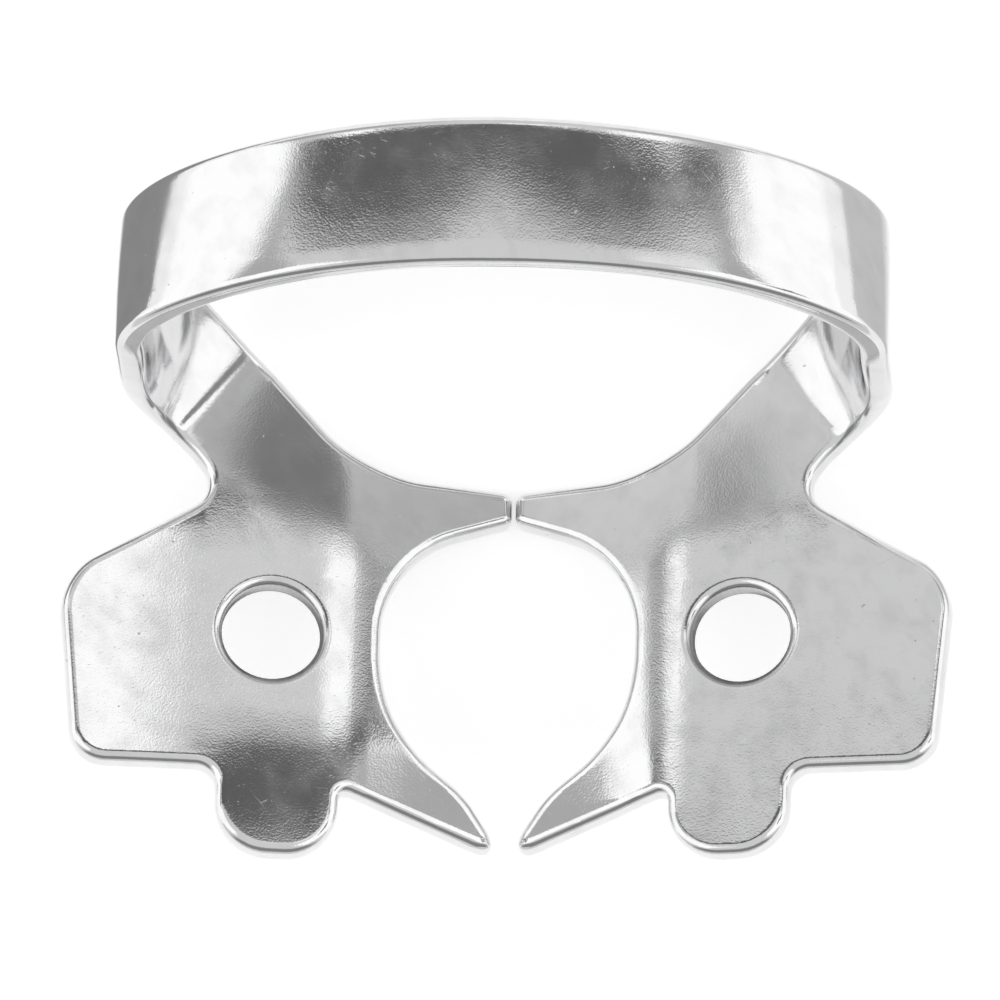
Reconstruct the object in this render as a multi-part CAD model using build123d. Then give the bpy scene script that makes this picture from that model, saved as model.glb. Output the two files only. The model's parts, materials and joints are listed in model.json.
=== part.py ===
from build123d import *
import os
from math import atan2, cos, degrees, hypot, radians, sin

# A rubber dam clamp: one strip of spring steel, stamped, formed and polished.
# A bow springs over the tooth and joins two winged jaws, each with a forceps hole.
# While it is built, X runs across the clamp, Y towards the bow (distal) and Z up
# from the wings. The right jaw is made first, and the left one mirrors it.
# At the end the clamp is laid down as it comes to rest on a flat surface.

# The sheet
sheet = 0.95            # thickness of the spring steel
edge_round = 0.28       # radius left on every edge by tumbling and polishing
overrun = 2.0           # how far cutting bodies pass the metal

# The bow
bow_width = 4.8         # width of the strip over the bow
bow_half_span = 12.35   # from the middle of the clamp to the outside of the bow
bow_height = 11.9       # top of the bow above the wings
side_height = 5.9       # height at which the bow is widest
bow_top_y = 5.95        # middle of the strip at the top of the bow
bow_side_y = 4.75       # middle of the strip at the sides
bow_face_tilt = 8.0     # degrees that the top of the bow faces the mouth
side_lean = 6.0         # degrees that the sides lean away from the mouth
bow_roundness_share = 0.56      # pull of the arch's ends, as shares of its half sizes
bow_shoulder_share = 0.56
curl_start_share = 0.80         # pull of the lower curl, as shares of its reach and rise
curl_end_share = 0.40

# The neck, where each end of the bow runs into a jaw
neck_width = 3.85       # width of the strip where the jaw begins
neck_x = 9.0            # middle of that line
neck_y = 2.7
neck_turn = 43.0        # degrees that the neck is turned away from straight across

# The jaw: a flat plate, bent down towards the tooth
plate_slope = 8.0       # degrees that the wings fall towards the tooth
prong_slope = 20.0      # degrees that the prongs fall towards the tooth
level_x = 10.6          # where the plate passes through the height of the wings
bend_x = 5.2            # middle of the bend between plate and prongs
bend_radius = 9.0       # radius of that bend, at the middle of the sheet

# The outline of the jaw, in the plane of the plate
tip_gap = 0.16          # gap between the two back prongs
back_prong_y = 0.95     # back edge of the back prong
back_prong_width = 1.05
back_prong_root_x = 4.75
tooth_half_width = 4.12     # half of the opening that takes the tooth
tooth_back_y = -1.8
tooth_side_y = -6.0
tooth_front_x = 3.35
tooth_front_y = -8.1
prong_shoulder_x = 1.35     # where the front prong begins to narrow
prong_shoulder_y = -9.6
front_tip_x = -0.05     # where the sides of the front prong would meet, before its tip is rounded
front_tip_y = -11.65
lobe_inner_x = 5.3      # front lobe, which holds the dam in front of the tooth
lobe_outer_x = 9.25
lobe_front_y = -12.15
lobe_root_y = -9.85
wing_front_y = -9.35    # large side wing
wing_reach = 14.5
wing_taper = 0.6        # how far the side of the wing comes in towards its front
wing_back_y = -3.0
notch_x = 9.3           # root of the notch between wing and neck
notch_y = 0.1

# Radii of the outline's corners
tip_round = 0.34
back_prong_fillet = 4.5
tooth_back_round = 3.7
tooth_side_round = 5.0
tooth_front_round = 4.0
prong_shoulder_round = 3.0
front_tip_round = 0.42
lobe_fillet = 0.32
lobe_round = 1.7
wing_root_fillet = 0.65
wing_front_round = 1.2
wing_back_round = 2.0
notch_round = 0.95

# The forceps hole
hole_radius = 1.6
hole_x = 7.6
hole_y = -4.65

# How finely the strip is followed, how closely its lowest points are found, and when two ways agree
touch_accuracy = 0.01
curl_steps = 5
arch_steps = 7
straight_share = 0.12   # straight start of the neck, as a share of its width
half_way = 0.5          # middle of an edge
near_share = 0.5        # cosine of the angle within which a face looks up or down
same_way_share = 0.999  # cosine of the angle within which two ways are the same
upright_share = 0.9     # cosine of the angle within which an edge stands upright

# The plane of the wings, at the middle of the sheet
slope = radians(plate_slope)
plate_normal = Vector(-sin(slope), 0, cos(slope))
plate = Plane(
    origin=Vector(0, 0, -level_x * sin(slope) / cos(slope)) - plate_normal * (sheet / 2),
    x_dir=(cos(slope), 0, sin(slope)),
    z_dir=plate_normal,
)

# The line where neck and jaw meet
turn = radians(neck_turn)
neck_middle = plate.from_local_coords(Vector(neck_x, neck_y, 0))
neck_heading = (plate.from_local_coords(Vector(cos(turn), sin(turn), 0)) - plate.origin).normalized()
neck_across = plate_normal.cross(neck_heading)


def neck_outline(side):
    """A point on the line between neck and jaw: side is -1 at the front and 1 at the back."""
    half = side * neck_width / 2
    return (neck_x - half * sin(turn), neck_y + half * cos(turn))


def beyond_neck(side):
    """The same edge of the neck, past the end of the jaw."""
    x, y = neck_outline(side)
    return (x + overrun * cos(turn), y + overrun * sin(turn))


def tan_of(angle):
    """The rise of a slope, for each unit along it."""
    return sin(radians(angle)) / cos(radians(angle))


def sheet_middle(x):
    """Height of the middle of the sheet, as if the bend were sharp."""
    rise = tan_of(plate_slope) if x > bend_x else tan_of(prong_slope)
    bend_z = plate.origin.Z + (bend_x - plate.origin.X) * tan_of(plate_slope)
    return bend_z + (x - bend_x) * rise


def on_plate(x, y):
    """Where a point of the bent sheet lies on the plane of the plate."""
    flat = plate.to_local_coords(Vector(x, y, sheet_middle(x)))
    return (flat.X, flat.Y)


def jaw_outline():
    """The stamped outline of the right jaw, with a rounded corner at each point."""
    corners = [
        (beyond_neck(-1), 0),
        ((notch_x, notch_y), notch_round),
        ((wing_reach, wing_back_y), wing_back_round),
        ((wing_reach - wing_taper, wing_front_y), wing_front_round),
        ((lobe_outer_x, wing_front_y), wing_root_fillet),
        ((lobe_outer_x, lobe_front_y), lobe_round),
        ((lobe_inner_x, lobe_front_y), lobe_round),
        ((lobe_inner_x, lobe_root_y), lobe_fillet),
        (on_plate(front_tip_x, front_tip_y), front_tip_round),
        (on_plate(prong_shoulder_x, prong_shoulder_y), prong_shoulder_round),
        (on_plate(tooth_front_x, tooth_front_y), tooth_front_round),
        (on_plate(tooth_half_width, tooth_side_y), tooth_side_round),
        (on_plate(tooth_half_width, tooth_back_y), tooth_back_round),
        (on_plate(tip_gap / 2, back_prong_y - back_prong_width), tip_round),
        (on_plate(tip_gap / 2, back_prong_y), tip_round),
        (on_plate(back_prong_root_x, back_prong_y), back_prong_fillet),
        (beyond_neck(1), 0),
    ]
    points = [corner[0] for corner in corners]
    radii = [corner[1] for corner in corners]
    return make_face(FilletPolyline(*points, radius=radii, close=True).edges())


def bent_sheet():
    """The sheet of the jaw, bent down towards the tooth along a line beside it."""
    outer = wing_reach + overrun
    section = FilletPolyline(
        (outer, sheet_middle(outer)),
        (bend_x, sheet_middle(bend_x)),
        (-overrun, sheet_middle(-overrun)),
        radius=bend_radius,
    )
    strip = Plane.XZ * trace(section, sheet)
    behind = neck_y + neck_width + overrun
    in_front = overrun - lobe_front_y
    return extrude(strip, -behind) + extrude(strip, in_front)


def right_jaw():
    """The stamped and bent jaw, with every edge rounded but those that meet the neck."""
    tall = bow_height + overrun
    blank = plate * extrude(jaw_outline(), tall / 2, both=True)
    hole = plate * Pos(hole_x, hole_y, 0) * Cylinder(hole_radius, tall)
    jaw = (bent_sheet() & blank) - hole
    rims = []
    for wall in jaw.faces():
        normal = wall.normal_at(wall.center())
        faces_up_or_down = abs(normal.dot(plate_normal)) > near_share
        meets_neck = normal.dot(neck_heading) > same_way_share
        if faces_up_or_down or meets_neck:
            continue
        for edge in wall.edges():
            if abs((edge % half_way).dot(plate_normal)) < upright_share:
                rims.append(edge)
    rounded = fillet(rims, edge_round)
    return split(rounded, Plane(origin=neck_middle, z_dir=neck_heading), keep=Keep.BOTTOM)


def strip_section(middle, along, across, width):
    """One section of the strip: its edges are rounded, and its width lies across the way it runs."""
    along = along.normalized()
    across = (across - along * across.dot(along)).normalized()
    return Plane(origin=middle, x_dir=across, z_dir=along) * RectangleRounded(width, sheet, edge_round)


def right_sections():
    """Sections of the strip, from the right jaw up to the top of the bow."""
    lean = radians(side_lean)
    tilt = radians(bow_face_tilt)
    side = Vector(bow_half_span - sheet / 2, bow_side_y, side_height)
    top = Vector(0, bow_top_y, bow_height - sheet / 2)
    side_way = Vector(0, sin(lean), cos(lean))
    side_across = Vector(0, cos(lean), -sin(lean))
    top_across = Vector(0, cos(tilt), sin(tilt))

    start = neck_middle + neck_heading * (neck_width * straight_share)
    reach = hypot(side.X - start.X, side.Y - start.Y)
    rise = side.Z - start.Z
    curl = Bezier(
        start,
        start + neck_heading * (reach * curl_start_share),
        side - side_way * (rise * curl_end_share),
        side,
    )
    arch = Bezier(
        side,
        side + side_way * ((top.Z - side.Z) * bow_roundness_share),
        top + Vector(side.X * bow_shoulder_share, 0, 0),
        top,
    )
    sections = [(neck_middle, neck_heading, neck_across, neck_width)]
    for step in range(curl_steps):
        share = step / curl_steps
        blend = share * share * (3 - 2 * share)
        across = neck_across * (1 - blend) + side_across * blend
        width = neck_width + (bow_width - neck_width) * blend
        sections.append((curl @ share, curl % share, across, width))
    for step in range(arch_steps + 1):
        share = step / arch_steps
        across = side_across * (1 - share) + top_across * share
        sections.append((arch @ share, arch % share, across, bow_width))
    return sections


def bow():
    """The bow with both necks: one strip that follows the right half and its mirror image."""
    right = right_sections()
    left = [
        (Vector(-c.X, c.Y, c.Z), Vector(a.X, -a.Y, -a.Z), Vector(-w.X, w.Y, w.Z), width)
        for c, a, w, width in reversed(right[:-1])
    ]
    return loft([strip_section(*section) for section in right + left])


def resting_tilt(metal):
    """Degrees that the clamp tips back as it comes to rest, where its weight lies lowest."""
    centre = metal.center(CenterOf.MASS)
    outside = sorted({(point.Y, point.Z) for point in metal.tessellate(touch_accuracy)[0]})
    under = []
    for point in outside:
        while len(under) > 1 and height_over(under[-2], point, under[-1]) >= 0:
            under.pop()
        under.append(point)
    front, back = min(
        zip(under, under[1:]), key=lambda side: height_over(side[0], side[1], (centre.Y, centre.Z))
    )
    return degrees(atan2(back[1] - front[1], back[0] - front[0]))


def height_over(front, back, point):
    """How far a point lies above the line from front to back, seen from the side."""
    run, rise = back[0] - front[0], back[1] - front[1]
    return (run * (point[1] - front[1]) - rise * (point[0] - front[0])) / hypot(run, rise)


def laid_down(metal):
    """The clamp as it rests on a flat surface, with the origin under the middle of its box."""
    tipped = Rot(-resting_tilt(metal), 0, 0) * metal
    box = tipped.bounding_box()
    return Pos(0, -(box.min.Y + box.max.Y) / 2, -box.min.Z) * tipped


def clamp():
    """The whole clamp, one piece of steel."""
    jaw = right_jaw()
    return laid_down(bow() + jaw + mirror(jaw, Plane.YZ))


if __name__ == "__main__":
    os.makedirs("parts", exist_ok=True)
    export_step(clamp(), "parts/clamp.step")
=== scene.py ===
# %% [markdown]
# # A rubber dam clamp in polished spring steel
# A dentist hooks this clamp round the neck of a molar to hold a sheet of rubber in place.
# It is one strip of spring steel: two winged jaws that grip the tooth, and a bow that springs
# over its crown. This lesson loads the measured frame of the clamp, models the steel again with
# clean faces so that its mirror finish reads well, gives it a finish and lights it.

import bpy
import bmesh
import json
from math import atan2, copysign, cos, degrees, hypot, radians, sin, tan
from mathutils import Matrix, Vector
from mathutils.noise import noise_vector, seed_set

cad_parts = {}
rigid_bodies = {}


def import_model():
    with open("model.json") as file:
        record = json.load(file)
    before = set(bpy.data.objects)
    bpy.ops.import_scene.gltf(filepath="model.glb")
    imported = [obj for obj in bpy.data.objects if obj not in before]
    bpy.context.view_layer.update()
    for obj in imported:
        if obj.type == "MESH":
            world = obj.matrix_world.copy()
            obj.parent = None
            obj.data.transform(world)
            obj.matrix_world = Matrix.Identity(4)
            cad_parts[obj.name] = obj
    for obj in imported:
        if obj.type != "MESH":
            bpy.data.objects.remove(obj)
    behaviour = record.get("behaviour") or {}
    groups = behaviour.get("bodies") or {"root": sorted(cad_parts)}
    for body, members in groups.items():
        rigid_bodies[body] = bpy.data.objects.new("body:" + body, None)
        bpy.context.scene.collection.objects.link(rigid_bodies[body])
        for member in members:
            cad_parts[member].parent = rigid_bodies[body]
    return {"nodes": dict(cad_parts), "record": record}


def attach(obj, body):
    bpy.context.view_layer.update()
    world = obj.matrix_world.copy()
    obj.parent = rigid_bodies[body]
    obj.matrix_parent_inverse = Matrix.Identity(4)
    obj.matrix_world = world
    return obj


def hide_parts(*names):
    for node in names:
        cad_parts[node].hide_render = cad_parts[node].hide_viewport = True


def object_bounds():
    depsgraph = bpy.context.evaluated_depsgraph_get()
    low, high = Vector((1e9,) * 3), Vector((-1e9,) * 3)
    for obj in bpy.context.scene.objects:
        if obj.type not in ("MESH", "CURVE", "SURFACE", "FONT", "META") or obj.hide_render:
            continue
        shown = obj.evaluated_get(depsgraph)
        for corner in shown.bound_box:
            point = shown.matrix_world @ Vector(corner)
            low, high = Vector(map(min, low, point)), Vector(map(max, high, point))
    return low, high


for left_over in list(bpy.data.objects):
    bpy.data.objects.remove(left_over)
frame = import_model()
loaded_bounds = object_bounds()
print("pieces in the frame:", sorted(frame["nodes"]))

# %% [markdown]
# The frame's solid is right in size, but its faces are loose triangles, and a mirror finish shows
# every one of them. The clamp is therefore modelled again from the same dimensions, in
# millimetres, with long even faces. First come the sheet, the bow and the necks.

# %% Sizes of the strip, in millimetres
millimetre = 0.001
sheet = 0.95
edge_round = 0.3
edge_steps = 6

bow_width = 4.8
bow_half_span = 12.35
bow_height = 11.9
side_height = 5.9
bow_top_y = 5.95
bow_side_y = 4.75
bow_face_tilt = radians(8)
side_lean = radians(6)
bow_roundness_share = 0.56
bow_shoulder_share = 0.56
curl_start_share = 0.80
curl_end_share = 0.40

neck_width = 3.85
neck_x = 9.0
neck_y = 2.7
neck_turn = radians(43)
straight_share = 0.12
print("strip:", bow_width, "x", sheet, "mm")

# %% [markdown]
# The jaw was stamped from the flat strip and then bent down along a line beside the tooth. Each
# corner of its outline has its own radius, as the die does.

# %% Sizes of the jaw, in millimetres
plate_slope = radians(8)
prong_slope = radians(20)
level_x = 10.6
bend_x = 5.2
bend_radius = 9.0

tip_gap = 0.16
back_prong_y = 0.95
back_prong_width = 1.05
back_prong_root_x = 4.75
tooth_half_width = 4.12
tooth_back_y = -1.8
tooth_side_y = -6.0
tooth_front_x = 3.35
tooth_front_y = -8.1
prong_shoulder_x = 1.35
prong_shoulder_y = -9.6
front_tip_x = -0.05
front_tip_y = -11.65
lobe_inner_x = 5.3
lobe_outer_x = 9.25
lobe_front_y = -12.15
lobe_root_y = -9.85
wing_front_y = -9.35
wing_reach = 14.5
wing_taper = 0.6
wing_back_y = -3.0
notch_x = 9.3
notch_y = 0.1

tip_round = 0.34
back_prong_fillet = 4.5
tooth_back_round = 3.7
tooth_side_round = 5.0
tooth_front_round = 4.0
prong_shoulder_round = 3.0
front_tip_round = 0.42
lobe_fillet = 0.32
lobe_round = 1.7
wing_root_fillet = 0.65
wing_front_round = 1.2
wing_back_round = 2.0
notch_round = 0.95

hole_radius = 1.6
hole_x = 7.6
hole_y = -4.65
print("hole:", 2 * hole_radius, "mm across")

# %% [markdown]
# The wings lie in a plane that falls towards the tooth. A matrix takes points from that plane to
# the clamp standing level, and a second one lays the clamp down as it rests. The second comes
# from the frame itself: the forceps hole's axis gives the tilt, and its place gives the shift.

# %% Planes and the way the clamp lies
plate_normal = Vector((-sin(plate_slope), 0, cos(plate_slope)))
plate_origin = Vector((0, 0, -level_x * tan(plate_slope))) - plate_normal * (sheet / 2)
plate = Matrix.Translation(plate_origin) @ Matrix.Rotation(-plate_slope, 4, "Y")

hole_mount = next(m for m in frame["record"]["mounts"] if m["pos_m"][0] > 0)
resting_tilt = atan2(hole_mount["axis"][1], hole_mount["axis"][2])
tipped = Matrix.Rotation(-resting_tilt, 4, "X")
hole_level = plate @ Vector((hole_x, hole_y, 0))
hole_lying = Vector(hole_mount["pos_m"]) / millimetre
laid_down = Matrix.Translation(hole_lying - tipped @ hole_level) @ tipped
print("the clamp lies tipped back", round(degrees(resting_tilt), 2), "degrees")

# %% [markdown]
# Along the jaw, the sheet first follows the wings, then bends, then falls more steeply to the
# tips. How far it has dropped below the plane of the wings is all that the bend needs.

# %% The bend
turned = prong_slope - plate_slope
half_bend = bend_radius * tan(turned / 2)
bend_at = (bend_x - plate_origin.x) / cos(plate_slope)


def drop(along):
    """How far the sheet lies below the plane of the wings, at this distance along it."""
    into = bend_at + half_bend - along
    if into <= 0:
        return 0.0
    if into >= bend_radius * sin(turned):
        return (bend_at - along) * tan(turned)
    return bend_radius - (bend_radius ** 2 - into ** 2) ** 0.5


def on_plate(x, y):
    """A point of the bent jaw, seen square on to the wings."""
    rise = tan(plate_slope) if x > bend_x else tan(prong_slope)
    z = plate_origin.z + (bend_x - plate_origin.x) * tan(plate_slope) + (x - bend_x) * rise
    return (plate.inverted() @ Vector((x, y, z))).xy


print("drop at the tips:", round(drop(0), 2), "mm")

# %% [markdown]
# The neck is where the jaw ends and the bow begins. Its two corners close the outline.

# %% The neck
neck_heading = Vector((cos(neck_turn), sin(neck_turn)))
neck_side = Vector((-sin(neck_turn), cos(neck_turn)))
neck_middle = Vector((neck_x, neck_y))
neck_front = neck_middle - neck_side * (neck_width / 2)
neck_back = neck_middle + neck_side * (neck_width / 2)

outline = [
    (neck_front, 0),
    (Vector((notch_x, notch_y)), notch_round),
    (Vector((wing_reach, wing_back_y)), wing_back_round),
    (Vector((wing_reach - wing_taper, wing_front_y)), wing_front_round),
    (Vector((lobe_outer_x, wing_front_y)), wing_root_fillet),
    (Vector((lobe_outer_x, lobe_front_y)), lobe_round),
    (Vector((lobe_inner_x, lobe_front_y)), lobe_round),
    (Vector((lobe_inner_x, lobe_root_y)), lobe_fillet),
    (on_plate(front_tip_x, front_tip_y), front_tip_round),
    (on_plate(prong_shoulder_x, prong_shoulder_y), prong_shoulder_round),
    (on_plate(tooth_front_x, tooth_front_y), tooth_front_round),
    (on_plate(tooth_half_width, tooth_side_y), tooth_side_round),
    (on_plate(tooth_half_width, tooth_back_y), tooth_back_round),
    (on_plate(tip_gap / 2, back_prong_y - back_prong_width), tip_round),
    (on_plate(tip_gap / 2, back_prong_y), tip_round),
    (on_plate(back_prong_root_x, back_prong_y), back_prong_fillet),
    (neck_back, 0),
]
print("corners in the outline:", len(outline))

# %% [markdown]
# One face with a vertex at each corner is the whole outline. Bevelling a vertex by the distance
# from the corner to where its arc begins rounds it, as the die's corner is rounded.

# %% Stamp the outline
corner_steps = 12
steel = bmesh.new()
corners = [steel.verts.new((point.x, point.y, -sheet / 2)) for point, radius in outline]
steel.faces.new(corners)


def round_corner(corner, before, after, radius):
    """Rounds one corner of the flat outline."""
    inside = (before - corner.co).angle(after - corner.co)
    reach = radius / tan(inside / 2)
    bmesh.ops.bevel(
        steel, geom=[corner], offset=reach, offset_type="OFFSET", affect="VERTICES",
        segments=corner_steps, profile=0.5, clamp_overlap=False, material=-1,
    )


places = [corner.co.copy() for corner in corners]
for at, (point, radius) in enumerate(outline):
    if radius:
        round_corner(corners[at], places[at - 1], places[(at + 1) % len(places)], radius)
print("outline:", len(steel.verts), "points")

# %% [markdown]
# The forceps hole needs a ring of faces round it. Four cuts leave a square round the hole, which
# makes way for a bridge between the square and a circle with as many points.

# %% Punch the forceps hole
hole_points = 48
hole_frame = 2.6
touching = 1e-5


def cut(faces, where, way):
    """Cuts faces along a straight line, without parting them."""
    edges = {edge for face in faces for edge in face.edges}
    vertices = {vertex for face in faces for vertex in face.verts}
    bmesh.ops.bisect_plane(
        steel, geom=[*vertices, *edges, *faces], plane_co=where, plane_no=way, dist=touching
    )


for side in (-1, 1):
    cut(list(steel.faces), (0, hole_y + side * hole_frame, 0), (0, 1, 0))
hole_middle = Vector((hole_x, hole_y, -sheet / 2))
for side in (-1, 1):
    middles = [(face, face.calc_center_median().y) for face in steel.faces]
    beside = [face for face, y in middles if abs(y - hole_y) < hole_frame]
    cut(beside, (hole_x + side * hole_frame, 0, 0), (1, 0, 0))
square = min(steel.faces, key=lambda face: (face.calc_center_median() - hole_middle).length)
square_edges = list(square.edges)
bmesh.ops.delete(steel, geom=[square], context="FACES_ONLY")
bmesh.ops.subdivide_edges(steel, edges=square_edges, cuts=hole_points // 4 - 1)


def on_square(vertex):
    """Whether a vertex belongs to the square round the hole."""
    off = vertex.co - hole_middle
    return max(abs(off.x), abs(off.y)) < hole_frame + edge_round / 10


square_edges = [edge for edge in steel.edges if all(on_square(vertex) for vertex in edge.verts)]
circle = bmesh.ops.create_circle(
    steel, segments=hole_points, radius=hole_radius, matrix=Matrix.Translation(hole_middle)
)
circle_edges = list({edge for vertex in circle["verts"] for edge in vertex.link_edges})
bridge = bmesh.ops.bridge_loops(steel, edges=square_edges + circle_edges)
bmesh.ops.subdivide_edges(steel, edges=bridge["edges"], cuts=1, use_grid_fill=True)
print("faces with the hole:", len(steel.faces))

# %% [markdown]
# The flat blank gets its thickness by extruding the whole face upwards. Tumbling has rounded
# every rim of the real clamp, so all the rims are bevelled but those where the bow goes on. A
# narrow inset beside the rims keeps the flats' shading flat right up to them.

# %% Thickness and rounded rims
square_on, level = 0.999, 0.9999
inset_width = edge_round / 6
grown = bmesh.ops.extrude_face_region(steel, geom=list(steel.faces), use_keep_orig=True)
upper = [part for part in grown["geom"] if isinstance(part, bmesh.types.BMVert)]
bmesh.ops.translate(steel, verts=upper, vec=(0, 0, sheet))
bmesh.ops.recalc_face_normals(steel, faces=list(steel.faces))

heading = Vector((neck_heading.x, neck_heading.y, 0))


def is_flat(face):
    """Whether a face is on the upper or under side of the sheet."""
    return abs(face.normal.z) > 0.5


def at_neck(face):
    """Whether a face is the end of the neck, where the bow goes on."""
    middle = face.calc_center_median().xy - neck_middle
    return face.normal.dot(heading) > square_on and middle.length < neck_width / 2


rims = [
    edge for edge in steel.edges
    if len(edge.link_faces) == 2
    and sum(is_flat(face) for face in edge.link_faces) == 1
    and not any(at_neck(face) for face in edge.link_faces)
]
bmesh.ops.bevel(
    steel, geom=rims, offset=edge_round, offset_type="OFFSET", affect="EDGES",
    segments=edge_steps, profile=0.5, clamp_overlap=False, loop_slide=False, material=-1,
)
flats = [face for face in steel.faces if abs(face.normal.z) > level]
bmesh.ops.inset_region(steel, faces=flats, thickness=inset_width, use_even_offset=False)
print("rims rounded:", len(rims), "edges; faces:", len(steel.faces))

# %% [markdown]
# A mirror shows every unevenness, so the flats are divided to take some later. The cuts keep
# clear of every rim that runs the same way, because a cut along a rounded rim leaves a crease.

# %% Divide the flats and bend the jaw
cut_spacing = 0.62
clearance = edge_round * 1.3
bend_shares = (-0.9, -0.6, -0.3, 0, 0.45, 1)
cuts_past_bend = 4
wing_end_margin = 1.6
lobe_end_margin = 0.9


def spaced(start, stop, rims):
    """Places from start to stop at even spacing, but for those that would touch a rim."""
    count = round((stop - start) / cut_spacing)
    places = [start + cut_spacing * number for number in range(count)]
    return [place for place in places if all(abs(place - rim) > clearance for rim in rims)]


def clear_of_hole(face):
    """Whether a face lies outside the ring of faces round the forceps hole."""
    off = face.calc_center_median() - hole_middle
    return not at_neck(face) and max(abs(off.x), abs(off.y)) > hole_frame


rims_across = [lobe_inner_x + edge_round / 2, lobe_outer_x - edge_round / 2]
rims_along = [wing_front_y + edge_round / 2, back_prong_y, back_prong_y - back_prong_width]
bend_start, bend_end = bend_at - half_bend, bend_at + half_bend
for share in bend_shares:
    jaw_faces = [face for face in steel.faces if not at_neck(face)]
    cut(jaw_faces, (bend_at + share * half_bend, 0, 0), (1, 0, 0))
across_cuts = spaced(bend_end + cut_spacing, wing_reach - wing_end_margin, rims_across)
across_cuts += [bend_start - cut_spacing * number for number in range(1, cuts_past_bend + 1)]
for place in across_cuts:
    cut([face for face in steel.faces if clear_of_hole(face)], (place, 0, 0), (1, 0, 0))
for place in spaced(lobe_front_y + lobe_end_margin, notch_y + neck_width, rims_along):
    cut([face for face in steel.faces if clear_of_hole(face)], (0, place, 0), (0, 1, 0))
for vertex in steel.verts:
    vertex.co.z -= drop(vertex.co.x)
bmesh.ops.transform(steel, matrix=plate, verts=list(steel.verts))
steel.normal_update()
print("cuts across the jaw:", len(across_cuts), "faces:", len(steel.faces))

# %% [markdown]
# From the end of the neck, the strip follows two curves: the lower curl, out and up to the side
# of the bow, and the arch, from there to the top. Each stretch needs a place and the three
# directions of the strip there: across its width, square on to its face, and the way it runs.

# %% The way of the strip
curl_steps = 26
arch_steps = 44


def on_curve(ends, share):
    """Place and direction at a share of a curve with four pull points."""
    a, b, c, d = ends
    rest = 1 - share
    place = a * rest ** 3 + b * (3 * rest ** 2 * share)
    place += c * (3 * rest * share ** 2) + d * share ** 3
    way = (b - a) * rest ** 2 + (c - b) * (2 * rest * share) + (d - c) * share ** 2
    return place, way.normalized()


def section(place, way, across):
    """The matrix that puts a flat section of the strip at its place."""
    across = (across - way * across.dot(way)).normalized()
    face = way.cross(across)
    turn = Matrix((across, face, way)).transposed().to_4x4()
    return Matrix.Translation(place) @ turn


turn_to_plate = plate.to_3x3()
neck_at = plate @ Vector((neck_x, neck_y, 0))
neck_way = turn_to_plate @ heading
neck_across = plate_normal.cross(neck_way)
side = Vector((bow_half_span - sheet / 2, bow_side_y, side_height))
top = Vector((0, bow_top_y, bow_height - sheet / 2))
side_way = Vector((0, sin(side_lean), cos(side_lean)))
side_across = Vector((0, cos(side_lean), -sin(side_lean)))
top_across = Vector((0, cos(bow_face_tilt), sin(bow_face_tilt)))

curl_start = neck_at + neck_way * (neck_width * straight_share)
reach = hypot(side.x - curl_start.x, side.y - curl_start.y)
rise = side.z - curl_start.z
curl = (
    curl_start,
    curl_start + neck_way * (reach * curl_start_share),
    side - side_way * (rise * curl_end_share),
    side,
)
arch = (
    side,
    side + side_way * ((top.z - side.z) * bow_roundness_share),
    top + Vector((side.x * bow_shoulder_share, 0, 0)),
    top,
)

stations = [(section(neck_at, neck_way, neck_across), neck_width)]
for step in range(curl_steps):
    share = step / curl_steps
    blend = share * share * (3 - 2 * share)
    place, way = on_curve(curl, share)
    across = neck_across.lerp(side_across, blend)
    stations.append((section(place, way, across), neck_width + (bow_width - neck_width) * blend))
for step in range(arch_steps + 1):
    share = step / arch_steps
    place, way = on_curve(arch, share)
    stations.append((section(place, way, side_across.lerp(top_across, share)), bow_width))
print("stations along half the strip:", len(stations))

# %% [markdown]
# The end face of the neck has the strip's own section, rounded edges included. It is extruded
# from station to station. The flats are divided first, so that the twist shows no creases. The
# strip slowly gets a little thinner towards its edges, which polishing always does.

# %% Draw the strip out of the neck
flat_step = 0.3
crown = 0.04
end = min(steel.faces, key=lambda face: (face.calc_center_median() - neck_at).length)
for broad in [edge for edge in end.edges if edge.calc_length() > 2 * flat_step]:
    bmesh.ops.subdivide_edges(steel, edges=[broad], cuts=int(broad.calc_length() / flat_step))
end = min(steel.faces, key=lambda face: (face.calc_center_median() - neck_at).length)


def widened(local, before, after, thinner):
    """A point of the section when the strip gets wider, and its edges a little thinner."""
    flat, wider = before / 2 - edge_round, after / 2 - edge_round
    outwards = min(abs(local.x) / flat, 1)
    local.y *= 1 - 2 * thinner / sheet * outwards ** 2
    local.x += copysign(wider - flat, local.x) * outwards
    return local


thinning_steps = len(stations) // 2
for number, ((here, width), (there, next_width)) in enumerate(zip(stations, stations[1:])):
    end = bmesh.ops.extrude_discrete_faces(steel, faces=[end])["faces"][0]
    thinner = crown / thinning_steps if number < thinning_steps else 0
    back = here.inverted()
    for vertex in end.verts:
        vertex.co = there @ widened(back @ vertex.co, width, next_width, thinner)
bmesh.ops.delete(steel, geom=[end], context="FACES_ONLY")
print("half of the clamp:", len(steel.faces), "faces")

# %% [markdown]
# The left half mirrors the right one. The two halves share the ring at the top of the bow.

# %% Mirror
near_middle = 1e-3
everything = list(steel.verts) + list(steel.edges) + list(steel.faces)
bmesh.ops.mirror(steel, geom=everything, axis="X", merge_dist=near_middle)
bmesh.ops.remove_doubles(steel, verts=list(steel.verts), dist=near_middle / 10)
bmesh.ops.recalc_face_normals(steel, faces=list(steel.faces))
print("whole clamp:", len(steel.faces), "faces")

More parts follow.
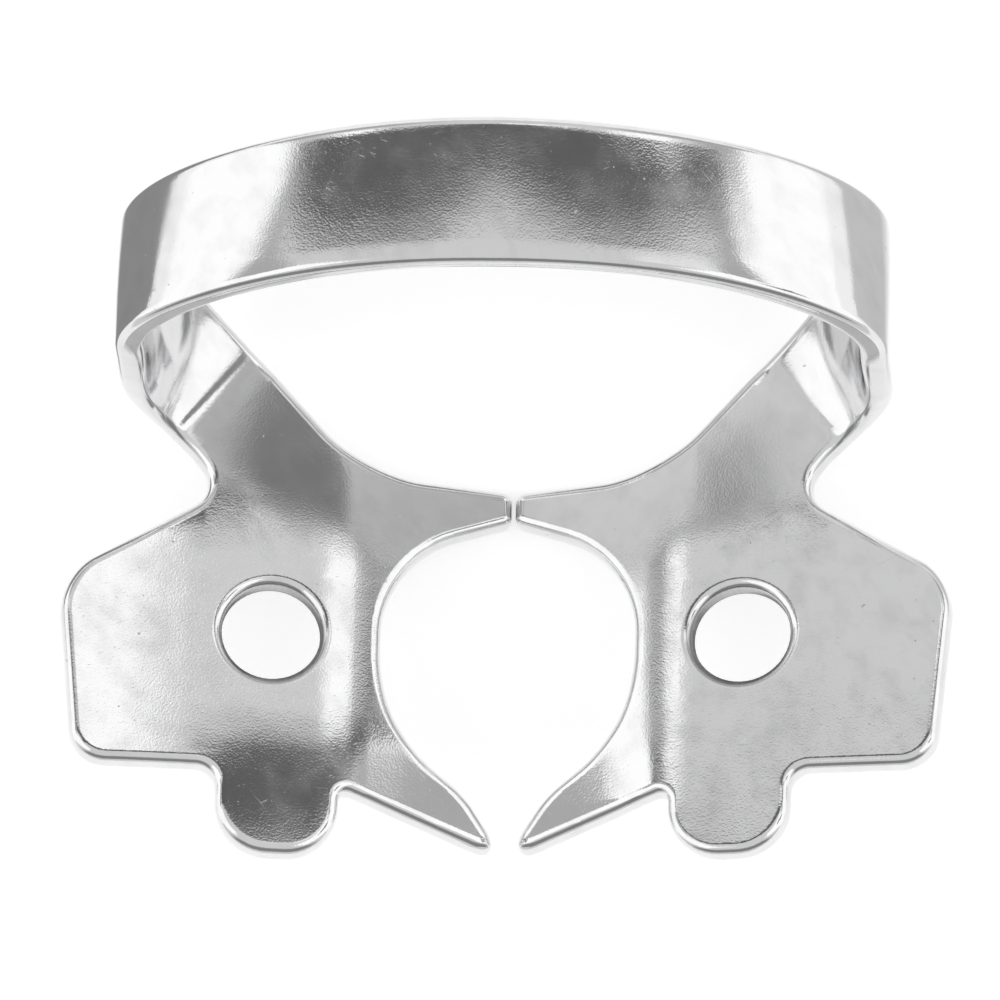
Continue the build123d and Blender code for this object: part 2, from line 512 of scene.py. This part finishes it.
# %% [markdown]
# The forming dies leave the sheet a little less than flat: the necks lift towards the bow, the
# front prongs, the lobes and the wings' ends droop, and broad waves run through all of it. The
# right jaw came out flatter than the left. The lift is four tenths of a millimetre at most and the
# rest one or two tenths, but a mirror makes them the main thing that is seen. Each grows with the
# square of the way past its start, and fades out where the next form begins. The waves are noise,
# and it is given a seed, because Blender's noise otherwise starts from the clock.

# %% Marks of the forming
neck_lift, lift_start, lift_reach = 0.015, -3.8, 5.2
lift_top, lift_full_below = 5, 1
lift_inner_x, lift_full_x = 2, 5
lift_edge, lift_full_across = -4.5, -2
lobe_droop, lobe_droop_start = 0.0095, -7.1
lobe_edges_x, lobe_full_x = (3.6, 10.2), (4.8, 8.7)
prong_droop, prong_droop_start = 0.018, -7.6
prong_edge_x, prong_full_x = 4.8, 3.6
wing_droop, wing_droop_start = 0.0065, 9.8
wing_top, wing_full_below = 2, 0.5
right_neck_share = 0.5
right_lobe_share = 0.1
wave_length = 7.0
wave_shift = Vector((0.3, 5.2, 1.1))
wave_height = 0.04
wave_seed = 1795834410


def eased(value, none, full):
    """Goes smoothly from 0 to 1 as the value goes from none to full."""
    held = min(max((value - none) / (full - none), 0), 1)
    return held * held * (3 - 2 * held)


def formed(place):
    """How far the dies have pushed a point of the sheet up."""
    x, y, z = abs(place.x), place.y, place.z
    neck_share, lobe_share = (1, 1) if place.x < 0 else (right_neck_share, right_lobe_share)
    from_neck = Vector((x, y)) - neck_middle
    lift = neck_lift * min(max(from_neck.dot(neck_heading) - lift_start, 0), lift_reach) ** 2
    lift *= eased(z, lift_top, lift_full_below) * eased(x, lift_inner_x, lift_full_x)
    lift *= eased(from_neck.dot(neck_side), lift_edge, lift_full_across)
    lobe = lobe_droop * max(lobe_droop_start - y, 0) ** 2
    for edge_x, full_x in zip(lobe_edges_x, lobe_full_x):
        lobe *= eased(x, edge_x, full_x)
    prong = prong_droop * max(prong_droop_start - y, 0) ** 2 * eased(x, prong_edge_x, prong_full_x)
    wing = wing_droop * max(x - wing_droop_start, 0) ** 2 * eased(z, wing_top, wing_full_below)
    return neck_share * lift - lobe_share * (lobe + wing) - prong


seed_set(wave_seed)
for vertex in steel.verts:
    vertex.co.z += formed(vertex.co)
    vertex.co += wave_height * noise_vector(vertex.co / wave_length + wave_shift)
to_metres = Matrix.Scale(millimetre, 4)
bmesh.ops.transform(steel, matrix=to_metres @ laid_down, verts=list(steel.verts))
left_droop = lobe_droop * (lobe_droop_start - lobe_front_y) ** 2
print("droop of the left lobe:", round(left_droop, 2), "mm")

# %% [markdown]
# None of this may make the clamp any bigger, so its box is set to the frame's.

# %% Set to the frame's box and make the piece
lows = [min(vertex.co[way] for vertex in steel.verts) for way in range(3)]
highs = [max(vertex.co[way] for vertex in steel.verts) for way in range(3)]
for vertex in steel.verts:
    for way in range(3):
        low, high = loaded_bounds[0][way], loaded_bounds[1][way]
        growth = (high - low) / (highs[way] - lows[way])
        vertex.co[way] = low + (vertex.co[way] - lows[way]) * growth
for face in steel.faces:
    face.smooth = True
mesh = bpy.data.meshes.new("clamp_steel")
steel.to_mesh(mesh)
open_edges = sum(edge.is_boundary for edge in steel.edges)
steel.free()
clamp = bpy.data.objects.new("clamp_steel", mesh)
bpy.context.scene.collection.objects.link(clamp)
clamp.modifiers.new("even shading", "WEIGHTED_NORMAL").weight = 50
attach(clamp, "root")
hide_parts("clamp")
print("clamp:", len(mesh.polygons), "faces,", open_edges, "open edges")
sizes = [round((high - low) / millimetre, 3) for low, high in zip(lows, highs)]
print("size before it was set:", sizes, "mm")

# %% [markdown]
# Polished steel is a mirror that has been handled. Its colour is a light grey, and it is metal all
# over. The polish is not quite even: cloudy patches scatter light more, fine scratches from
# tumbling run every way, and a few pits are left. All of them are made by noise in the object's
# own coordinates, which are in metres, so that they sit on the steel whatever the view.

# %% The finish
finish = bpy.data.materials.new("polished spring steel")
finish.use_nodes = True
nodes = finish.node_tree.nodes
links = finish.node_tree.links
steel_shader = nodes["Principled BSDF"]
steel_shader.inputs["Metallic"].default_value = 1.0
where = nodes.new("ShaderNodeTexCoord").outputs["Object"]


def stretched(turn, stretch):
    """The object's coordinates, turned and drawn out, for marks that run one way."""
    mapping = nodes.new("ShaderNodeMapping")
    mapping.vector_type = "TEXTURE"
    mapping.inputs["Rotation"].default_value = turn
    mapping.inputs["Scale"].default_value = stretch
    links.new(where, mapping.inputs["Vector"])
    return mapping.outputs["Vector"]


def noise(scale, detail, coordinates=where):
    """Smooth noise with a number of features to the metre."""
    texture = nodes.new("ShaderNodeTexNoise")
    texture.inputs["Scale"].default_value = scale
    texture.inputs["Detail"].default_value = detail
    links.new(coordinates, texture.inputs["Vector"])
    return texture.outputs["Fac"]


def remapped(value, low, high, to_low, to_high):
    """A value carried from one range to another, and held at its ends."""
    node = nodes.new("ShaderNodeMapRange")
    ends = {"From Min": low, "From Max": high, "To Min": to_low, "To Max": to_high}
    for name, number in ends.items():
        node.inputs[name].default_value = number
    links.new(value, node.inputs["Value"])
    return node.outputs["Result"]


def combined(operation, one, other):
    """Two values combined, each a number or what another node gives."""
    node = nodes.new("ShaderNodeMath")
    node.operation = operation
    for socket, value in zip(node.inputs, (one, other)):
        if isinstance(value, (int, float)):
            socket.default_value = value
        else:
            links.new(value, socket)
    return node.outputs["Value"]


def plus(*values):
    """The sum of values, each of which may be a pair that is multiplied first."""
    parts = [combined("MULTIPLY", *v) if isinstance(v, tuple) else v for v in values]
    total = parts[0]
    for part in parts[1:]:
        total = combined("ADD", total, part)
    return total


print("finish:", finish.name)

# %% [markdown]
# The holes are punched, and no polish reaches their walls, which are rougher. The walls are also
# painted dark, which is painted shade inside the holes. How far a place is from the nearer hole's
# axis tells where they are.

# %% The punched walls
dull_within, polished_past = 0.04, 0.16
hole_way = (laid_down.to_3x3() @ turn_to_plate @ Vector((0, 0, 1))).normalized()
hole_place = (laid_down @ hole_level) * millimetre


def from_axis(place, way):
    """How far the object's coordinates are from an axis."""
    value = where
    for operation, other in (("SUBTRACT", place), ("CROSS_PRODUCT", way), ("LENGTH", None)):
        node = nodes.new("ShaderNodeVectorMath")
        node.operation = operation
        links.new(value, node.inputs[0])
        if other is not None:
            node.inputs[1].default_value = other
        value = node.outputs["Value" if operation == "LENGTH" else "Vector"]
    return value


mirrored = Matrix.Diagonal((-1, 1, 1))
from_right = from_axis(hole_place, hole_way)
from_left = from_axis(mirrored @ hole_place, mirrored @ hole_way)
punched = remapped(
    combined("MINIMUM", from_right, from_left),
    (hole_radius + dull_within) * millimetre, (hole_radius + polished_past) * millimetre, 1, 0,
)
print("hole axis through:", [round(number / millimetre, 2) for number in hole_place], "mm")

# %% [markdown]
# Clouds are broad, soft noise. Scratches are noise drawn out along a way of its own, cut off so
# that only its crests show. Pits are the rare peaks of a fine noise.

# %% Clouds, scratches and pits
cloud_scale, smear_scale, scratch_scale, pit_scale = 380, 1300, 16000, 5200
smear_turn, smear_stretch = (0.3, 0.1, 0.5), (1, 2, 1)
scratch_turns = ((0.1, 0.2, 0.4), (0.5, -0.3, 1.3), (-0.4, 0.2, 2.3), (0.2, 0.5, 2.9))
scratch_stretch = (40, 1, 1)

clouds = noise(cloud_scale, 3)
smears = noise(smear_scale, 5, stretched(smear_turn, smear_stretch))
scratches = 0
for turn in scratch_turns:
    lines = noise(scratch_scale, 0, stretched(turn, scratch_stretch))
    scratches = combined("MAXIMUM", remapped(lines, 0.82, 0.9, 0, 1), scratches)
pits = remapped(noise(pit_scale, 0), 0.86, 0.89, 0, 1)
print("scratch ways:", len(scratch_turns))

# %% [markdown]
# The clean mirror is hardly rough at all. Each kind of mark adds its share to that, and smears and
# pits darken the steel as well. The punched walls are painted dark too, which is painted shade
# inside the holes.

# %% Roughness and colour
scratch_rough, pit_rough, wall_rough = 0.08, 0.3, 0.3
bright_steel = (0.76, 0.76, 0.765, 1)
smeared_steel = (0.60, 0.60, 0.60, 1)
# painted shade: the dark colour of the hole walls stands in for the shade inside the holes
wall_shade_colour = (0.16, 0.155, 0.15, 1)

polish = remapped(clouds, 0.35, 0.7, 0.06, 0.12)
smeared = remapped(smears, 0.45, 0.75, 0, 0.05)
rough = plus(
    polish, smeared, (scratches, scratch_rough), (pits, pit_rough), (punched, wall_rough)
)
links.new(rough, steel_shader.inputs["Roughness"])


def blended(share, colour, other):
    """A colour that goes over into another one."""
    mix = nodes.new("ShaderNodeMix")
    mix.data_type = "RGBA"
    links.new(share, mix.inputs["Factor"])
    colours = [socket for socket in mix.inputs if socket.type == "RGBA"]
    for socket, value in zip(colours, (colour, other)):
        if isinstance(value, tuple):
            socket.default_value = value
        else:
            links.new(value, socket)
    return next(socket for socket in mix.outputs if socket.type == "RGBA")


stained = combined("MAXIMUM", remapped(smears, 0.45, 0.85, 0, 0.5), pits)
# painted shade in the hole walls, broken up a little by the smears
wall_shade_share = combined("MULTIPLY", punched, remapped(smears, 0.3, 0.7, 1, 0.7))
colour = blended(wall_shade_share, blended(stained, bright_steel, smeared_steel), wall_shade_colour)
links.new(colour, steel_shader.inputs["Base Color"])
print("roughness and colour set")

# %% [markdown]
# Under a lens, the polish has a fine orange peel, which frays the edges of the reflections. One
# bump makes the peel and a second one the fine grain and the marks. Their heights are about a
# thousandth of a millimetre, and are given in metres.

# %% Peel and marks
peel_scale, peel_height = 1700, 0.0000012
grain_scale, grain_share = 15000, 1.8
marks_height, scratch_share = 0.0000009, 0.4


def bump(height, distance):
    """A bump of this height, and its node."""
    node = nodes.new("ShaderNodeBump")
    node.inputs["Strength"].default_value = 1.0
    node.inputs["Distance"].default_value = distance
    links.new(height, node.inputs["Height"])
    return node


peel = bump(noise(peel_scale, 1), peel_height)
grain = combined("MULTIPLY", noise(grain_scale, 1), grain_share)
cut_in = plus(pits, (scratches, scratch_share))
marks = bump(combined("SUBTRACT", grain, cut_in), marks_height)
links.new(peel.outputs["Normal"], marks.inputs["Normal"])
links.new(marks.outputs["Normal"], steel_shader.inputs["Normal"])
clamp.data.materials.append(finish)
print("peel:", peel_height, "m, marks:", marks_height, "m")

# %% [markdown]
# The clamp lies on a plain white sheet, in a white tent. What a mirror shows is its surroundings,
# so these matter more than any lamp. The sheet is matt and takes the clamp's shadow, and it glows
# just enough to look white.

# %% The sheet
half_sheet = 1.5
floor_mesh = bpy.data.meshes.new("sheet")
floor_build = bmesh.new()
bmesh.ops.create_grid(floor_build, x_segments=1, y_segments=1, size=half_sheet)
floor_build.to_mesh(floor_mesh)
floor_build.free()
floor = bpy.data.objects.new("white_sheet", floor_mesh)
bpy.context.scene.collection.objects.link(floor)
print("sheet:", 2 * half_sheet, "m across")

# %% [markdown]
# Painted shade lies on the sheet beside the clamp, under the bow and under the holes, so that the
# steel reflects a dark sheet there. It is painted as soft rectangles that only reflections see,
# each with its middle, half its width and depth, the breadth of its soft edge, and the share of
# light that it keeps.

# %% Painted shade on the sheet
sheet_white, sheet_glow = 0.8, 0.5
paper = bpy.data.materials.new("white paper")
paper.use_nodes = True
nodes = paper.node_tree.nodes
links = paper.node_tree.links
spot = nodes.new("ShaderNodeSeparateXYZ")
links.new(nodes.new("ShaderNodeTexCoord").outputs["Object"], spot.inputs[0])
path = nodes.new("ShaderNodeLightPath").outputs


def near_middle_of(axis, middle, half, fade):
    """1 within half of the middle along one axis, falling to 0 over the fade. In millimetres."""
    moved = combined("SUBTRACT", spot.outputs[axis], middle * millimetre)
    away = combined("ABSOLUTE", moved, 0)
    return remapped(away, half * millimetre, (half + fade) * millimetre, 1, 0)


painted_floor_shade = (
    (-36, 17, 20.5, 16, 1.5, 0.28),
    (32, 17, 15, 16, 3, 0.6),
    (0.5, 6.3, 2.4, 4.5, 1.2, 0.3),
    (6.2, 6.3, 2.2, 5, 1.2, 0.75),
    (-7.6, -5, 2, 2, 1, 0.3),
    (7.6, -5, 2, 2, 1, 0.3),
)
# painted shade: dark patches in the sheet's colour, seen only by reflections
dark = 0
for x, y, half_width, half_depth, fade, kept in painted_floor_shade:
    across = near_middle_of("X", x, half_width, fade)
    along = near_middle_of("Y", y, half_depth, fade)
    shape = combined("MULTIPLY", across, along)
    dark = combined("MAXIMUM", combined("MULTIPLY", shape, 1 - kept), dark)
light = combined("SUBTRACT", 1, combined("MULTIPLY", dark, path["Is Glossy Ray"]))

matt = nodes["Principled BSDF"]
matt.inputs["Roughness"].default_value = 1.0
matt.inputs["Specular IOR Level"].default_value = 0.0
matt.inputs["Emission Color"].default_value = (1, 1, 1, 1)
links.new(combined("MULTIPLY", light, sheet_white), matt.inputs["Base Color"])
shown = combined("MAXIMUM", path["Is Camera Ray"], path["Is Glossy Ray"])
shown = combined("MAXIMUM", shown, path["Is Transmission Ray"])
glow = combined("MULTIPLY", combined("MULTIPLY", shown, light), sheet_glow)
links.new(glow, matt.inputs["Emission Strength"])
floor_mesh.materials.append(paper)
print("cards on the sheet:", len(painted_floor_shade))

# %% [markdown]
# The tent is white too, with grey cards that give the steel its dark tones. They are painted on
# the world as directions, so none of them can get in the way of another view. Each card has
# straight edges between its corners, and a corner is an azimuth, clockwise from the bow's side,
# and an elevation, both in degrees. A card has its tone, the breadth of its soft edge and its
# corners. The camera itself sees the tent as plain white. Light comes from nearly all of it alike,
# so there is no bright part that the rays would need to be sent to.

# %% The tent
world = bpy.data.worlds.new("tent")
bpy.context.scene.world = world
world.use_nodes = True
nodes = world.node_tree.nodes
links = world.node_tree.links
toward = nodes.new("ShaderNodeTexCoord").outputs["Generated"]


def direction(azimuth, elevation):
    """The way to a place in the tent, from angles in degrees."""
    turn, lift = radians(azimuth), radians(elevation)
    return Vector((sin(turn) * cos(lift), cos(turn) * cos(lift), sin(lift)))


def card(corners, fade):
    """1 on a card with these corners, anticlockwise as seen from the clamp, and 0 beside it."""
    ways = [direction(*corner) for corner in corners]
    shape = 1
    for here, there in zip(ways, ways[1:] + ways[:1]):
        inwards = nodes.new("ShaderNodeVectorMath")
        inwards.operation = "DOT_PRODUCT"
        links.new(toward, inwards.inputs[0])
        inwards.inputs[1].default_value = there.cross(here).normalized()
        shape = combined("MULTIPLY", remapped(inwards.outputs["Value"], -fade, 0, 0, 1), shape)
    return shape


white, pale, plain, mid_grey, dim_grey, dark_grey = 1.3, 1.0, 0.77, 0.5, 0.27, 0.13
tent_cards = (
    (mid_grey, 0.10, ((18, 8), (48, 8), (48, 20), (18, 20))),
    (mid_grey, 0.10, ((-48, 8), (-18, 8), (-18, 20), (-48, 20))),
    (white, 0.03, ((39, -12), (100, -12), (110, 58), (60, 70), (43, 48))),
    (white, 0.03, ((-100, -12), (-41, -12), (-43, 48), (-60, 70), (-110, 58))),
    (dark_grey, 0.05, ((-28, 40), (28, 40), (20, 47), (6, 51.5), (-12, 51.5), (-26, 46))),
    (dark_grey, 0.03, ((20, 42), (40, 27.5), (39, 32), (34, 36.5), (27, 42.5), (21, 46))),
    (dark_grey, 0.03, ((-41, 28), (-20, 42), (-21, 48), (-31, 43.5), (-36, 39), (-40, 33))),
    (pale, 0.06, ((24, 52), (36, 42), (40, 44), (28, 58))),
    (dim_grey, 0.03, ((64, 34), (76, 34), (76, 47), (64, 48))),
    (white, 0.05, ((20, 32), (29, 31), (29, 34.5), (20, 38))),
    (white, 0.03, ((-33, 29), (-28, 31), (-28, 35), (-33, 33))),
    (white, 0.02, ((1, 35), (10.6, 35), (10.6, 41), (1, 41))),
    (mid_grey, 0.03, ((34, 22), (42, 22), (42, 27), (34, 27))),
    (mid_grey, 0.04, ((40, 33), (52, 33), (52, 40), (40, 40))),
    (mid_grey, 0.04, ((-55, 30), (-43, 30), (-43, 42), (-55, 42))),
    (dim_grey, 0.2, ((130, 22), (230, 22), (230, 50), (130, 50))),
)
tone = plain
for card_tone, fade, corners in tent_cards:
    shape = card(corners, fade)
    tone = plus((combined("SUBTRACT", 1, shape), tone), (shape, card_tone))
seen = nodes.new("ShaderNodeLightPath").outputs["Is Camera Ray"]
tone = combined("MAXIMUM", tone, seen)
tent = nodes["Background"]
tent.inputs["Strength"].default_value = 1.0
world.cycles.sampling_method = "NONE"
links.new(tone, tent.inputs["Color"])
print("tent: light, with", len(tent_cards), "cards")

# %% [markdown]
# The photograph looks almost straight down on the clamp, from a little towards the bow. The
# camera stands 420 mm away, far enough that the bow and the jaws come out at the same scale.

# %% The camera
camera_distance = 420
view_width = 32.2
camera_lean = radians(20.3)
camera_yaw = radians(3.25)
camera_roll = radians(0.29)
aim_right, aim_up = -0.277, 0.155


def turned_pair(one, other, angle):
    """Two directions, turned by an angle in their own plane from the first to the second."""
    return one * cos(angle) + other * sin(angle), other * cos(angle) - one * sin(angle)


right = Vector((1, 0, 0))
up = Vector((0, cos(camera_lean), sin(camera_lean)))
back = Vector((0, -sin(camera_lean), cos(camera_lean)))
back, right = turned_pair(back, right, camera_yaw)
right, up = turned_pair(right, up, camera_roll)
stand = Matrix((right, up, back)).transposed().to_4x4()
stand.translation = back * camera_distance + right * aim_right - up * aim_up
placed = laid_down @ stand
placed.translation *= millimetre

lens = bpy.data.cameras.new("photograph")
lens.sensor_width = 36
lens.lens = lens.sensor_width * camera_distance / view_width
lens.clip_start = 0.01
camera = bpy.data.objects.new("photograph", lens)
bpy.context.scene.collection.objects.link(camera)
camera.matrix_world = placed
bpy.context.scene.camera = camera
bpy.context.scene.view_settings.view_transform = "Standard"
print("lens:", round(lens.lens, 1), "mm")

# %% [markdown]
# That is the whole scene.

# %% The end
print("scene built")
